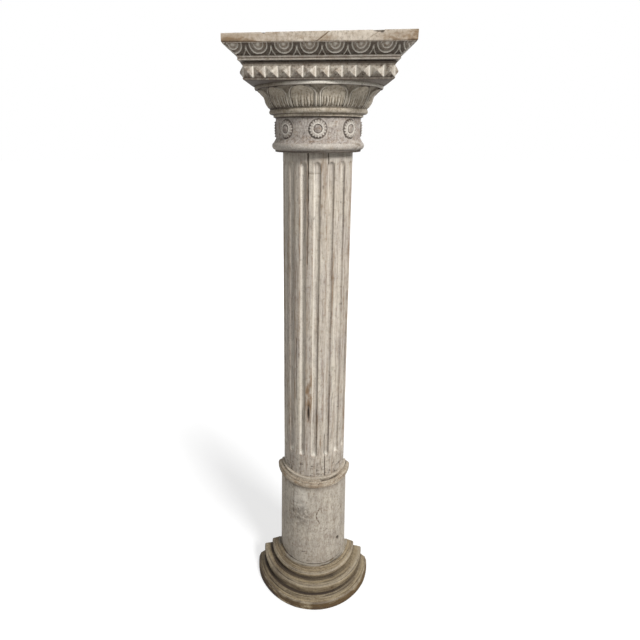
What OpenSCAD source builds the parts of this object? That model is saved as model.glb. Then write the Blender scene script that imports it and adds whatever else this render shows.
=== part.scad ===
// Half-round carved wooden column with a flat back: stepped foot, plain drum, fluted shaft,
// rosette necking, leaf bell and square mitred capital. Millimetres, +Z up, front towards -Y.

/* [Shaft] */
// Height of the fluted shaft
shaft_h = 1062; // [700:1:1600]
// Radius of the shaft at its foot
shaft_foot_r = 109; // [80:0.5:150]
// Radius of the shaft at its head
shaft_head_r = 98; // [75:0.5:140]
// Width of a flute
flute_w = 20; // [10:0.5:26]
// Depth of a flute
flute_depth = 7; // [3:0.5:10]
// Angle from one flute to the next
flute_step = 22.5; // [20:0.5:30]
// Flutes on each side of the middle one
flutes_each_side = 3; // [1:1:3]
// Plain band below the flutes
band_below_flutes = 83; // [20:1:150]
// Plain band above the flutes
band_above_flutes = 23; // [10:1:100]

/* [Back] */
// How far the flat back lies in front of the turning centre
saw_gap = 8; // [0:1:20]

/* [Foot] */
// Height of the lower step
lower_step_h = 45; // [30:1:80]
// How far the lower step stands out beyond the middle one
lower_tread = 30; // [20:1:60]
// Height of the upright rim of the lower step
lower_rim_h = 28; // [10:1:40]
// How far the top of that rim leans in
lower_rim_lean = 7; // [0:0.5:12]
// Height of the middle step
middle_step_h = 41; // [25:1:70]
// How far the middle step stands out beyond the upper one
middle_tread = 32; // [20:1:60]
// Height of the upper step
upper_step_h = 32; // [22:1:60]
// How far the upper step stands out beyond the drum
upper_tread = 37; // [25:1:60]
// Radius of the worn noses of the middle and upper steps
nose_r = 8; // [3:0.5:10]
// Flat fillet on the upper step around the drum
fillet_w = 11; // [4:0.5:20]
// Fall of the upper tread from the fillet to its nose
upper_fall = 10; // [4:0.5:14]

/* [Drum and collar] */
// Height of the plain drum
drum_h = 360; // [200:1:600]
// Ledge of the drum beyond the foot of the shaft
drum_ledge = 10.5; // [4:0.5:20]
// How much wider the drum is at its foot than at its head
drum_batter = 7.5; // [0:0.5:20]
// Height of the collar
collar_h = 41; // [28:1:60]
// How far the collar stands out beyond the foot of the shaft
collar_overhang = 22; // [17:0.5:40]
// Thickness of the bead on top of the collar
collar_bead_r = 4; // [2:0.5:5]

/* [Necking] */
// Height of the necking with its torus
necking_h = 85; // [75:1:120]
// How far the frieze stands out beyond the head of the shaft
frieze_overhang = 18.5; // [10:0.5:30]
// Radius of the torus section
torus_r = 10.5; // [6:0.5:12]
// How far the torus stands out beyond the frieze
torus_overhang = 11.5; // [8:0.5:16]
// Height of the fillet below the torus
torus_fillet_h = 5; // [3:0.5:10]
// Diameter of a rosette
rosette_d = 44; // [25:1:46]
// How far a rosette stands proud of the frieze
rosette_proud = 4; // [3:0.5:8]
// Angle from one rosette to the next
rosette_step = 45; // [45:5:90]
// Scallops around a rosette
rosette_scallops = 16; // [8:1:24]

/* [Bell] */
// Height of the round bell from its fillet to the top of its lip
bell_h = 77; // [70:1:140]
// How far the bell's bead stands out beyond the frieze
bell_bead_overhang = 17.5; // [12:0.5:30]
// Radius of the bell's bead
bell_bead_r = 6.5; // [5:0.5:9]
// How far the lip stands out beyond the frieze
lip_overhang = 51; // [35:0.5:80]
// Radius of the lip's roll
lip_r = 5; // [5:0.5:10]
// Leaves around the half bell
leaf_count = 6; // [4:1:8]
// How far a leaf stands proud of the bell
leaf_proud = 4; // [2:0.5:6]
// Gap between two leaves
leaf_gap = 7; // [4:0.5:12]

/* [Square capital] */
// Height of the ovolo carved in one with the bell
ovolo_h = 16; // [12:0.5:30]
// How far the foot of the ovolo lies below the top of the lip
ovolo_drop = 12; // [4:0.5:14]
// How far the foot of the ovolo stands in from the lip
ovolo_set_in = 11; // [6:0.5:20]
// How far the head of the ovolo stands out beyond the lip
ovolo_overhang = 9; // [4:0.5:20]
// Height of the nailhead band
nailhead_h = 25; // [15:0.5:40]
// How far the nailheads stand proud
nailhead_proud = 10; // [5:0.5:15]
// Nailheads across the front
nailhead_count = 12; // [6:1:16]
// Height of the plain band above the nailheads
nailhead_band_h = 7; // [3:0.5:12]
// Height of the recess above that band
recess_h = 3; // [3:0.5:10]
// Depth of that recess
recess_depth = 8; // [3:0.5:12]
// Height of the egg-and-dart moulding
egg_moulding_h = 31; // [24:0.5:45]
// How far that moulding leans out from its foot to its head
egg_lean = 25; // [15:0.5:35]
// Height of the fillets at its foot
egg_fillet_h = 8; // [5:0.5:12]
// Height of the fillet at its head
egg_top_fillet_h = 2; // [1:0.5:4]
// Distance from one egg to the next
egg_pitch = 56.6; // [45:0.1:80]
// How far the run of eggs is off centre
egg_shift = 8; // [0:0.5:25]
// Depth of the ground behind the eggs
egg_sink = 4; // [2:0.5:5]
// Height of the top board
board_h = 19; // [12:0.5:40]
// How far the top board stands out beyond the moulding
board_overhang = 1.5; // [0.5:0.5:20]

/* [Hidden] */
$fn = 96;

// a narrow groove needs fewer facets round it
flute_facets = 48;

limed_light = [0.74, 0.70, 0.64];
limed_mid = [0.66, 0.62, 0.57];
limed_brown = [0.58, 0.53, 0.45];

// radii, each built out from the shaft
drum_head_r = shaft_foot_r + drum_ledge;
drum_foot_r = drum_head_r + drum_batter;
upper_r = drum_foot_r + upper_tread;
middle_r = upper_r + middle_tread;
lower_r = middle_r + lower_tread;
collar_r = shaft_foot_r + collar_overhang;
frieze_r = shaft_head_r + frieze_overhang;
lip_out_r = frieze_r + lip_overhang;

// half widths of the square work
ovolo_foot_w = lip_out_r - ovolo_set_in;
ovolo_head_w = lip_out_r + ovolo_overhang;
nail_ground_w = ovolo_head_w - 2;
egg_foot_w = ovolo_head_w + nailhead_proud + 1;
egg_head_w = egg_foot_w + egg_lean;
board_w = egg_head_w + board_overhang;

// heights, each stacked on the piece below
middle_z = lower_step_h;
upper_z = middle_z + middle_step_h;
drum_z = upper_z + upper_step_h;
collar_z = drum_z + drum_h;
shaft_z = collar_z + collar_h;
necking_z = shaft_z + shaft_h;
bell_z = necking_z + necking_h;
ovolo_z = bell_z + bell_h - ovolo_drop;
nailhead_z = ovolo_z + ovolo_h;
egg_z = nailhead_z + nailhead_h + nailhead_band_h + recess_h;
board_z = egg_z + egg_moulding_h;
total_h = board_z + board_h;

// plan: the origin is under the middle of the outline
front_reach = max(lower_r, board_w);
axis_y = (front_reach - saw_gap) / 2 + saw_gap;
back_y = axis_y - saw_gap;
reach = 2 * front_reach;

// keeps what lies in front of the flat back
module cut_back() {
    intersection() {
        children();
        translate([-reach, back_y - 2 * reach, -reach])
            cube([2 * reach, 2 * reach, total_h + 2 * reach]);
    }
}

// turns a 2D profile of radius and height about the column's centre, from height z up
module turned(z) {
    cut_back()
        translate([0, axis_y, z])
            rotate_extrude()
                children();
}

// runs an edge, listed as half width and height from its foot up, round the front
// and both sides with mitred corners
module mitred(z, edge) {
    cut_back()
        translate([0, axis_y, z])
            mitred_core(edge);
}

module mitred_core(edge) {
    last = len(edge) - 1;
    far_edge = [for (i = [last:-1:0]) [-edge[i][0], edge[i][1]]];
    intersection() {
        translate([0, reach, 0])
            rotate([90, 0, 0])
                linear_extrude(2 * reach)
                    polygon(concat(edge, far_edge));
        translate([reach, 0, 0])
            rotate([90, 0, -90])
                linear_extrude(2 * reach)
                    polygon(concat(edge, [[0, edge[last][1]], [0, edge[0][1]]]));
    }
}

// points of an arc about a centre
function arc(centre, r, from, to, steps = 6) = [
    for (i = [0:steps])
        let (a = from + (to - from) * i / steps)
            centre + r * [cos(a), sin(a)]
];

module lower_step() {
    color(limed_brown)
        turned(0)
            polygon(concat(
                [[0, 0], [lower_r, 0]],
                arc([lower_r - lower_rim_lean - 4, lower_rim_h - 4], 4, 0, 70, 3),
                [[middle_r + 2, lower_step_h], [0, lower_step_h]]));
}

module middle_step() {
    color(limed_brown)
        turned(middle_z)
            polygon(concat(
                [[0, 0], [middle_r - 3, 0]],
                arc([middle_r - nose_r, middle_step_h - 6 - nose_r], nose_r, -30, 80),
                [[upper_r + 1, middle_step_h], [0, middle_step_h]]));
}

module upper_step() {
    nose_z = upper_step_h - upper_fall - nose_r;
    color(limed_mid)
        turned(upper_z)
            polygon(concat(
                [[0, 0], [upper_r - 2, 0]],
                arc([upper_r - nose_r, nose_z], nose_r, -20, 70),
                [[drum_foot_r + fillet_w, upper_step_h - 2],
                 [drum_foot_r + fillet_w, upper_step_h],
                 [0, upper_step_h]]));
}

module plain_drum() {
    color(limed_light)
        turned(drum_z)
            polygon([[0, 0], [drum_foot_r, 0], [drum_head_r, drum_h], [0, drum_h]]);
}

// rounded ring with a thin bead on top, round the foot of the shaft
module collar() {
    roll_r = collar_h / 2 - collar_bead_r;
    color(limed_mid)
        turned(collar_z)
            polygon(concat(
                [[0, 0]],
                arc([collar_r - roll_r, roll_r], roll_r, -90, 90, 12),
                arc([shaft_foot_r + 3, collar_h - collar_bead_r], collar_bead_r, -80, 90, 6),
                [[0, collar_h]]));
}

// a straight groove with round ends that follows the shaft's taper
module flute_cutter() {
    $fn = flute_facets;
    cut_r = (pow(flute_w / 2, 2) + pow(flute_depth, 2)) / (2 * flute_depth);
    low = band_below_flutes + flute_w / 2;
    high = shaft_h - band_above_flutes - flute_w / 2;
    taper = (shaft_foot_r - shaft_head_r) / shaft_h;
    low_r = shaft_foot_r - taper * low + cut_r - flute_depth;
    lean = atan(taper);
    length = (high - low) / cos(lean);
    translate([0, -low_r, low])
        rotate([-lean, 0, 0]) {
            cylinder(h = length, r = cut_r);
            sphere(cut_r);
            translate([0, 0, length]) sphere(cut_r);
        }
}

module fluted_shaft() {
    color(limed_light)
        cut_back()
            translate([0, axis_y, shaft_z])
                difference() {
                    cylinder(h = shaft_h, r1 = shaft_foot_r, r2 = shaft_head_r);
                    for (i = [-flutes_each_side:flutes_each_side])
                        rotate([0, 0, i * flute_step]) flute_cutter();
                }
}

// a scalloped disc with a ringed boss, its face towards +Z
module rosette() {
    edge_r = 3.5;
    disc_r = rosette_d / 2 - edge_r;
    linear_extrude(10)
        union() {
            circle(disc_r);
            for (i = [0:rosette_scallops - 1])
                rotate(i * 360 / rosette_scallops) translate([disc_r, 0]) circle(edge_r);
        }
    translate([0, 0, 10])
        rotate_extrude()
            translate([rosette_d * 0.24, 0]) circle(1.8);
    translate([0, 0, 8]) sphere(rosette_d * 0.14);
}

module necking() {
    torus_z = torus_fillet_h + torus_r;
    color(limed_light)
        union() {
            turned(necking_z)
                union() {
                    square([frieze_r, necking_h]);
                    square([frieze_r + 3, torus_fillet_h]);
                    translate([frieze_r + torus_overhang - torus_r, torus_z]) circle(torus_r);
                    translate([0, torus_z - torus_r])
                        square([frieze_r + torus_overhang - torus_r, 2 * torus_r + 2]);
                }
            cut_back()
                for (a = [-90:rosette_step:90])
                    translate([0, axis_y, necking_z + (necking_h + torus_z + torus_r) / 2 + 1])
                        rotate([90, 0, a])
                            translate([0, 0, frieze_r + rosette_proud - 10]) rosette();
        }
}

// outline of the bell from its bead up to the lip, standing out by extra
module bell_profile(extra) {
    foot = frieze_r + bell_bead_overhang;
    low = [foot - 2 + extra, bell_bead_r * 2 + 7];
    high = [lip_out_r - 4, bell_h - lip_r];
    polygon(concat(
        [[0, low[1]], low],
        [for (i = [1:6])
            let (t = i / 6)
                [low[0] + (high[0] - low[0]) * (0.62 * t + 0.38 * pow(t, 5)) ,
                 low[1] + (high[1] - low[1]) * t]],
        [[0, high[1]]]));
}

// round-topped leaf: width and height, drawn upright from its foot
module leaf_outline(foot_w, head_w, h) {
    polygon(concat(
        [[-foot_w / 2, 0], [foot_w / 2, 0]],
        [for (a = [0:15:180]) [head_w / 2 * cos(a), h - head_w * 0.4 + head_w * 0.4 * sin(a)]]));
}

module leaves() {
    leaf_z = bell_bead_r * 2 + 7;
    leaf_h = bell_h - lip_r - leaf_z - 2;
    step = 180 / leaf_count;
    foot_w = 2 * (frieze_r + bell_bead_overhang) * sin(step / 2) - leaf_gap;
    head_w = 2 * (lip_out_r - 10) * sin(step / 2) - leaf_gap;
    intersection() {
        rotate_extrude() bell_profile(leaf_proud);
        union()
            for (i = [0:leaf_count - 1])
                rotate([90, 0, -90 + (i + 0.5) * step])
                    translate([0, leaf_z, 0])
                        linear_extrude(reach)
                            leaf_outline(foot_w, head_w, leaf_h);
    }
}

// the round bell and the square ovolo above it are one block
module leaf_bell() {
    bead_z = 7 + bell_bead_r;
    color(limed_mid)
        union() {
            turned(bell_z)
                union() {
                    square([frieze_r + 2, bell_h]);
                    translate([0, 1.5]) square([frieze_r + 6, 8]);
                    translate([frieze_r + bell_bead_overhang - bell_bead_r, bead_z])
                        circle(bell_bead_r);
                    translate([0, 7])
                        square([frieze_r + bell_bead_overhang - bell_bead_r, 2 * bell_bead_r]);
                    bell_profile(0);
                    translate([lip_out_r - lip_r, bell_h - lip_r]) circle(lip_r);
                    translate([0, bell_h - 2 * lip_r])
                        square([lip_out_r - lip_r, 2 * lip_r]);
                }
            cut_back()
                translate([0, axis_y, bell_z]) leaves();
            mitred(ovolo_z,
                [for (a = [-90:15:0])
                    [ovolo_foot_w + (ovolo_head_w - ovolo_foot_w) * cos(a),
                     ovolo_h + ovolo_h * sin(a)]]);
        }
}

// plan of the nailhead row: one tooth for each nailhead, on the front and both sides
function tooth_run(count, pitch) = [
    for (i = [0:2 * count])
        [i * pitch / 2, i % 2 == 1 ? nailhead_proud : 0]
];

module nailhead_block() {
    pitch = 2 * nail_ground_w / nailhead_count;
    teeth = tooth_run(nailhead_count, pitch);
    half_teeth = tooth_run(ceil(nail_ground_w / pitch), pitch);
    blunt = nailhead_proud * 0.88;
    band_w = ovolo_head_w + 2;
    color(limed_light)
        union() {
            cut_back()
                translate([0, axis_y, nailhead_z])
                    intersection() {
                        linear_extrude(nailhead_h)
                            polygon(concat(
                                [for (t = half_teeth)
                                    [-nail_ground_w - t[1], t[0] - nail_ground_w]],
                                [for (i = [len(half_teeth) - 1:-1:0])
                                    let (t = half_teeth[i])
                                        [nail_ground_w + t[1], t[0] - nail_ground_w]],
                                [for (i = [len(teeth) - 2:-1:1])
                                    let (t = teeth[i])
                                        [t[0] - nail_ground_w, -nail_ground_w - t[1]]]));
                        mitred_core([
                            [nail_ground_w, 0],
                            [nail_ground_w + blunt, nailhead_h * 0.44],
                            [nail_ground_w + blunt, nailhead_h * 0.56],
                            [nail_ground_w, nailhead_h]]);
                    }
            mitred(nailhead_z + nailhead_h, [
                [band_w, 0],
                [band_w, nailhead_band_h],
                [band_w - recess_depth, nailhead_band_h],
                [band_w - recess_depth, nailhead_band_h + recess_h]]);
        }
}

// sloping face of the egg-and-dart moulding, moved out by extra
function egg_slope(extra) = [
    [egg_foot_w + 3 + extra, egg_fillet_h],
    [egg_head_w - 2 + extra, egg_moulding_h - egg_top_fillet_h]
];

// eggs and darts standing up from the slope of one face, numbered from its middle
module egg_run(from, to) {
    rise = egg_moulding_h - egg_fillet_h - egg_top_fillet_h;
    slope = atan((egg_lean - 5) / rise);
    length = rise / cos(slope);
    ring_r = egg_pitch * 0.43;
    translate([0, -(egg_foot_w + 3 - egg_sink), egg_fillet_h])
        rotate([90 + slope, 0, 0])
            translate([0, 0, -2])
                linear_extrude(2 * egg_sink + 2)
                    for (i = [from:to])
                        translate([egg_shift + (i + 0.5) * egg_pitch, length - 3]) {
                            difference() {
                                circle(ring_r);
                                circle(ring_r - 5);
                            }
                            circle(ring_r * 0.5);
                            translate([-egg_pitch / 2 - 2, -length]) square([4, length + 6]);
                        }
}

module egg_and_dart_moulding() {
    last = ceil((egg_head_w + egg_shift) / egg_pitch - 0.5);
    color(limed_mid)
        union() {
            mitred(egg_z, concat(
                [[egg_foot_w, 0],
                 [egg_foot_w, 3],
                 [egg_foot_w + 4, 3],
                 [egg_foot_w + 4, egg_fillet_h]],
                egg_slope(-egg_sink),
                [[egg_head_w, egg_moulding_h - egg_top_fillet_h], [egg_head_w, egg_moulding_h]]));
            cut_back()
                translate([0, axis_y, egg_z])
                    intersection() {
                        mitred_core(concat(
                            [[egg_foot_w + 3.5, egg_fillet_h - 1]],
                            egg_slope(0.5),
                            [[egg_head_w - 1.5, egg_moulding_h - egg_top_fillet_h + 1]]));
                        union() {
                            egg_run(-last, last - 1);
                            rotate([0, 0, 90]) egg_run(1 - last, -1);
                            rotate([0, 0, -90]) egg_run(0, last - 2);
                        }
                    }
        }
}

module top_board() {
    color(limed_light)
        mitred(board_z, [[board_w, 0], [board_w, board_h]]);
}

lower_step();
middle_step();
upper_step();
plain_drum();
collar();
fluted_shaft();
necking();
leaf_bell();
nailhead_block();
egg_and_dart_moulding();
top_board();
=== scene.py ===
import math
import bpy
import numpy as np
from mathutils import Matrix, Vector


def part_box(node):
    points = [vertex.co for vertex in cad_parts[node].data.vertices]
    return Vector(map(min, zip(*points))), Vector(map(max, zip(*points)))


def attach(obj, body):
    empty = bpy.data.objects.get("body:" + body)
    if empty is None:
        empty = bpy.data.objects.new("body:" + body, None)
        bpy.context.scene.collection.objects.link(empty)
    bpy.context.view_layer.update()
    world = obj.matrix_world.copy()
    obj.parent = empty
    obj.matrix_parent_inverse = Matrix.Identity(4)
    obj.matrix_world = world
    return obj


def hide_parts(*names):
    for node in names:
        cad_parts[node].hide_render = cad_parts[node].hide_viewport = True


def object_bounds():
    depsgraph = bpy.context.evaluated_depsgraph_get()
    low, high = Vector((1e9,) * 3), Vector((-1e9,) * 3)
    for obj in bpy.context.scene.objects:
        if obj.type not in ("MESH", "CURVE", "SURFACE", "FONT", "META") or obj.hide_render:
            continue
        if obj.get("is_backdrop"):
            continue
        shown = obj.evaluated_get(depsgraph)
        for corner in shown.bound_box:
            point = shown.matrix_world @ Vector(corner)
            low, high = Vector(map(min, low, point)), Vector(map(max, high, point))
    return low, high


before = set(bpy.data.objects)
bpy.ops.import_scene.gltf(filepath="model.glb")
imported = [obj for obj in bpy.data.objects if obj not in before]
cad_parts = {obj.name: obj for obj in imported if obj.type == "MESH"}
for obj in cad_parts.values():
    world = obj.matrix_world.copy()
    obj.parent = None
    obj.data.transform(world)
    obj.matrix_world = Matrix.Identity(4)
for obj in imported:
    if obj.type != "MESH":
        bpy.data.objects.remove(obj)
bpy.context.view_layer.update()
print("frame loaded:", len(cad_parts), "nodes")

mm = 0.001

# the flat back lies a saw gap in front of the centre that the column is turned about
stepLow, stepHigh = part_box("lower_step")
stepDepth = stepHigh.y - stepLow.y
sawGap = (stepHigh.x ** 2 - stepDepth ** 2) / (2 * stepDepth) / mm
axisY = stepHigh.y / mm + sawGap


def foot(node):
    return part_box(node)[0].z / mm


def tall(node):
    return (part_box(node)[1].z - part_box(node)[0].z) / mm


# how far a node stands out from the turning centre
def reach(node):
    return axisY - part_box(node)[0].y / mm


# sums on sockets, for Geometry Nodes and materials alike
def operator(operation, swapped=False):
    def apply(self, other):
        return self.kit.sum(operation, *((other, self) if swapped else (self, other)))
    return apply


class Value:
    __add__ = __radd__ = operator("ADD")
    __mul__ = __rmul__ = operator("MULTIPLY")
    __sub__, __rsub__ = operator("SUBTRACT"), operator("SUBTRACT", True)
    __truediv__, __rtruediv__ = operator("DIVIDE"), operator("DIVIDE", True)
    __mod__, __pow__ = operator("FLOORED_MODULO"), operator("POWER")
    atLeast, atMost = operator("MAXIMUM"), operator("MINIMUM")

    def __init__(self, kit, socket):
        self.kit = kit
        self.socket = socket

    def __abs__(self):
        return self.kit.sum("ABSOLUTE", self)

    def root(self):
        return self.kit.sum("SQRT", self.atLeast(0.0))

    def wave(self):
        return self.kit.sum("COSINE", self)

    # 0 at the first value, 1 at the second, smooth between, either way round
    def ease(self, zeroAt, oneAt):
        return self.kit.node("ShaderNodeMapRange", {"interpolation_type": "SMOOTHSTEP"},
                             {"Value": self, "From Min": zeroAt, "From Max": oneAt})


class Kit:
    def __init__(self, tree):
        self.tree = tree

    # any node that is not a sum: its type, its settings, its sockets, the output wanted
    def node(self, kind, settings=None, sockets=None, out=0):
        made = self.tree.nodes.new(kind)
        for key, value in (settings or {}).items():
            setattr(made, key, value)
        for key, value in (sockets or {}).items():
            if isinstance(value, Value):
                self.tree.links.new(value.socket, made.inputs[key])
            else:
                made.inputs[key].default_value = value
        return Value(self, made.outputs[out])

    def sum(self, operation, *terms):
        return self.node("ShaderNodeMath", {"operation": operation}, dict(enumerate(terms)))

    def vector(self, x, y, z):
        return self.node("ShaderNodeCombineXYZ", {}, {"X": x, "Y": y, "Z": z})

    def noise(self, place, scale, detail=2.0, roughness=0.5):
        return self.node("ShaderNodeTexNoise", {}, {"Vector": place, "Scale": scale, "Detail": detail,
                                                    "Roughness": roughness})

    def stretch(self, place, scale):
        return self.node("ShaderNodeVectorMath", {"operation": "MULTIPLY"}, {0: place, 1: scale})

    def grained(self, at, scale, *rest):
        return self.noise(self.stretch(at["place"], scale), *rest)

    def blend(self, amount, first, second):
        return self.node("ShaderNodeMix", {"data_type": "RGBA"}, {0: amount, 6: first, 7: second}, 2)

    def length(self, across, up):
        return (across * across + up * up).root()


# skins: rows of points from the left back edge round the front to the right back edge
leastRise = 0.02  # between rows, in millimetres, so that none fold under the one below
backSteps = 10  # columns across the flat back


def arc(centre, radius, start, end, steps):
    turns = np.radians(np.linspace(start, end, steps + 1))
    return [(centre[0] + radius * math.cos(turn), centre[1] + radius * math.sin(turn))
            for turn in turns]


# splits an edge profile into short steps and finds which way each point faces
def finePoints(profile, step):
    points = [profile[0]]
    for (r0, z0), (r1, z1) in zip(profile, profile[1:]):
        span = step(0.5 * (z0 + z1)) if callable(step) else step
        pieces = max(1, math.ceil(math.hypot(r1 - r0, z1 - z0) / span))
        points += [(r0 + (r1 - r0) * k / pieces, z0 + (z1 - z0) * k / pieces)
                   for k in range(1, pieces + 1)]
    points = np.array(points)
    for k in range(1, len(points)):
        points[k, 1] = max(points[k, 1], points[k - 1, 1] + leastRise)
    ahead = np.gradient(points, axis=0)
    facing = np.stack([ahead[:, 1], -ahead[:, 0]], 1)
    return points, facing / np.linalg.norm(facing, axis=1)[:, None]


def roundRows(profile, step, columns):
    points, facing = finePoints(profile, step)
    r, z = points[:, :1], points[:, 1:]
    turn = np.arccos(np.clip(sawGap / r, -1, 1)) * np.linspace(-1, 1, columns)[None, :]
    rows = np.stack([r * np.sin(turn), -r * np.cos(turn), z + 0 * turn], 2)
    out = np.stack([facing[:, :1] * np.sin(turn), -facing[:, :1] * np.cos(turn),
                    facing[:, 1:] + 0 * turn], 2)
    return rows, out, np.degrees(turn)


# square plan with mitred corners. Along counts to the right from the middle of each face
def squareRows(profile, step, columns):
    sideColumns, frontColumns = columns
    points, facing = finePoints(profile, step)
    w, z = points[:, :1], points[:, 1:]
    side = np.linspace(0, 1, sideColumns)[None, :]
    front = np.linspace(-1, 1, frontColumns)[None, 1:-1]
    ahead = sawGap + (w - sawGap) * side
    blank = 0 * front
    x = np.concatenate([-w + 0 * side, w * front, w + 0 * side], 1)
    y = np.concatenate([-ahead, -w + blank, -ahead[:, ::-1]], 1)
    faceX = np.concatenate([-1 + 0 * side, blank, 1 + 0 * side], 1)
    faceY = np.concatenate([0 * side, blank - 1, 0 * side], 1)
    faceY[0, sideColumns - 1] = faceY[0, -sideColumns] = -1
    along = np.concatenate([ahead, w * front, -ahead[:, ::-1]], 1)
    out = np.stack([facing[:, :1] * faceX, facing[:, :1] * faceY, facing[:, 1:] + 0 * faceX], 2)
    return np.stack([x, y, z + 0 * x], 2), out, along


# closes the rows with a flat back and ends, and keeps the measures that the carving reads:
# along counts round or across the piece, slope up its face, and out is the way each point faces
def skin(name, grid, bottom):
    rows, out, along = grid
    count, columns = rows.shape[:2]
    share = np.linspace(0, 1, backSteps + 1)[None, 1:-1, None]
    ring = np.concatenate([rows, rows[:, -1:] + (rows[:, :1] - rows[:, -1:]) * share], 1)
    index = np.arange(ring.shape[0] * ring.shape[1]).reshape(ring.shape[:2])
    low, high = index[:-1], index[1:]
    quads = np.stack([low, np.roll(low, -1, 1), np.roll(high, -1, 1), high], 2).reshape(-1, 4)
    faces = quads.tolist() + [index[0][::-1].tolist(), index[-1].tolist()]
    mesh = bpy.data.meshes.new(name)
    mesh.from_pydata(((ring.reshape(-1, 3) + (0, axisY, bottom)) * mm).tolist(), [], faces)
    spare = ((0, 0), (0, backSteps - 1))
    climbs = np.linalg.norm(np.diff(rows[:, columns // 2], axis=0), axis=1)
    slope = np.append(0, np.cumsum(climbs))
    measures = {"carved": np.pad(np.ones((count, columns)), spare), "along": np.pad(along, spare),
                "slope": np.pad(slope[:, None] + 0 * along, spare)}
    for key, values in measures.items():
        layer = mesh.attributes.new(key, "FLOAT", "POINT")
        layer.data.foreach_set("value", values.ravel().astype("f"))
    layer = mesh.attributes.new("out", "FLOAT_VECTOR", "POINT")
    layer.data.foreach_set("vector", np.pad(out, spare + ((0, 0),)).ravel().astype("f"))
    piece = bpy.data.objects.new(name, mesh)
    bpy.context.collection.objects.link(piece)
    return piece


# carves a skin with one Geometry Nodes tree. The sizes become its named inputs, and the pattern
# gives the lift (and rise) in millimetres and the masks that the finish reads. Up counts from
# the skin's foot
def carve(piece, bottom, sizes, pattern, finish, sharp):
    tree = bpy.data.node_groups.new(piece.name + "Carving", "GeometryNodeTree")
    ends = tree.interface
    ends.new_socket(name="Geometry", in_out="INPUT", socket_type="NodeSocketGeometry")
    ends.new_socket(name="Geometry", in_out="OUTPUT", socket_type="NodeSocketGeometry")
    inputs = {key: ends.new_socket(name=key, in_out="INPUT", socket_type="NodeSocketFloat")
              for key in sizes}
    kit = Kit(tree)
    entry = tree.nodes.new("NodeGroupInput")
    given = {key: Value(kit, entry.outputs[key]) for key in sizes}

    def measure(key, kind="FLOAT"):
        return kit.node("GeometryNodeInputNamedAttribute", {"data_type": kind}, {"Name": key})

    place = kit.node("GeometryNodeInputPosition")
    split = kit.node("ShaderNodeSeparateXYZ", {}, {"Vector": place}).socket.node
    at = {key: Value(kit, split.outputs[key]) / mm for key in "XYZ"}
    at.update(place=place, along=measure("along"), up=at["Z"] - bottom)
    result = pattern(kit, given, at)
    carved = measure("carved")
    offset = kit.node("ShaderNodeVectorMath", {"operation": "SCALE"},
                      {"Vector": measure("out", "FLOAT_VECTOR"),
                       "Scale": result.pop("lift") * carved * mm})
    if "rise" in result:
        upward = kit.vector(0.0, 0.0, result.pop("rise") * mm)
        offset = kit.node("ShaderNodeVectorMath", {"operation": "ADD"}, {0: offset, 1: upward})
    body = Value(kit, entry.outputs["Geometry"])
    for key, mask in result.items():
        mask = (mask * carved).atLeast(0.0).atMost(1.0)
        body = kit.node("GeometryNodeStoreNamedAttribute", {"data_type": "FLOAT", "domain": "POINT"},
                         {"Geometry": body, "Name": key, "Value": mask})
    body = kit.node("GeometryNodeSetPosition", {}, {"Geometry": body, "Offset": offset})
    body = kit.node("GeometryNodeRealizeInstances", {}, {"Geometry": body})
    body = kit.node("GeometryNodeSetMaterial", {}, {"Geometry": body, "Material": finish})
    leave = tree.nodes.new("NodeGroupOutput")
    tree.links.new(body.socket, leave.inputs["Geometry"])
    modifier = piece.modifiers.new("Carving", "NODES")
    modifier.node_group = tree
    for key, socket in inputs.items():
        modifier[socket.identifier] = float(sizes[key])
    shaped = piece.evaluated_get(bpy.context.evaluated_depsgraph_get())
    mesh = bpy.data.meshes.new_from_object(shaped)
    piece.modifiers.clear()
    piece.data = mesh
    mesh.shade_smooth()
    mesh.set_sharp_from_angle(angle=math.radians(sharp))


# a skin on an edge profile, carved by its pattern. The values named become the carving's inputs
def shape(name, edge, bottom, own, inputs, pattern, finish, rows=roundRows):
    piece = skin(name, rows(edge, own["row"], own["columns"]), bottom)
    sizes = {key: own[key] for key in inputs}
    carve(piece, bottom, sizes, pattern, finishes[finish], own.get("sharp", 35))
    return piece


def fit(piece, node):
    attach(piece, "root")
    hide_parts(node)
    print(piece.name, "made:", len(piece.data.polygons), "faces")


def make(name, node, slot, edge, *rest):
    fit(shape(name, edge, foot(node), *rest), node)


# finishes: limewashed wood, with masks from the carving
def tint(red, green, blue):
    levels = [level / 255 for level in (red, green, blue)]
    return tuple(v / 12.92 if v <= 0.04045 else ((v + 0.055) / 1.055) ** 2.4 for v in levels) + (1.0,)


# the dirt colour serves for painted shade as well, and white for painted highlight
limewash = {
    "base": tint(186, 175, 161), "cool": tint(168, 159, 152), "cream": tint(206, 197, 181),
    "brown": tint(128, 102, 74), "dirtAndShade": tint(62, 52, 43), "white": tint(226, 220, 208),
    "sawnDark": tint(124, 102, 76), "sawnPale": tint(176, 154, 124),
    "patch": 0.6, "streak": 0.6, "mottle": 0.45, "grit": 0.3, "worn": 0.35, "soil": 0.3, "rings": 0.6,
    "grain": (1.0, 1.0, 0.06), "gritGrain": (1.0, 1.0, 0.6), "back": (1.0, 1.0, 0.06),
    "turned": False, "turnedGrain": (0.0005, 0.0022), "ringGrain": (0.012, 0.16),
    "rough": 0.72, "shine": 0.3, "relief": 0.45, "reliefDepth": 0.0014,
}
# how fine each noise is
fineness = {"patches": 11, "blots": 36, "streaks": 60, "sawn": 90, "mottle": 95, "grit": 210,
            "sawMarks": 240, "fibres": 340, "specks": 380}


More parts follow.
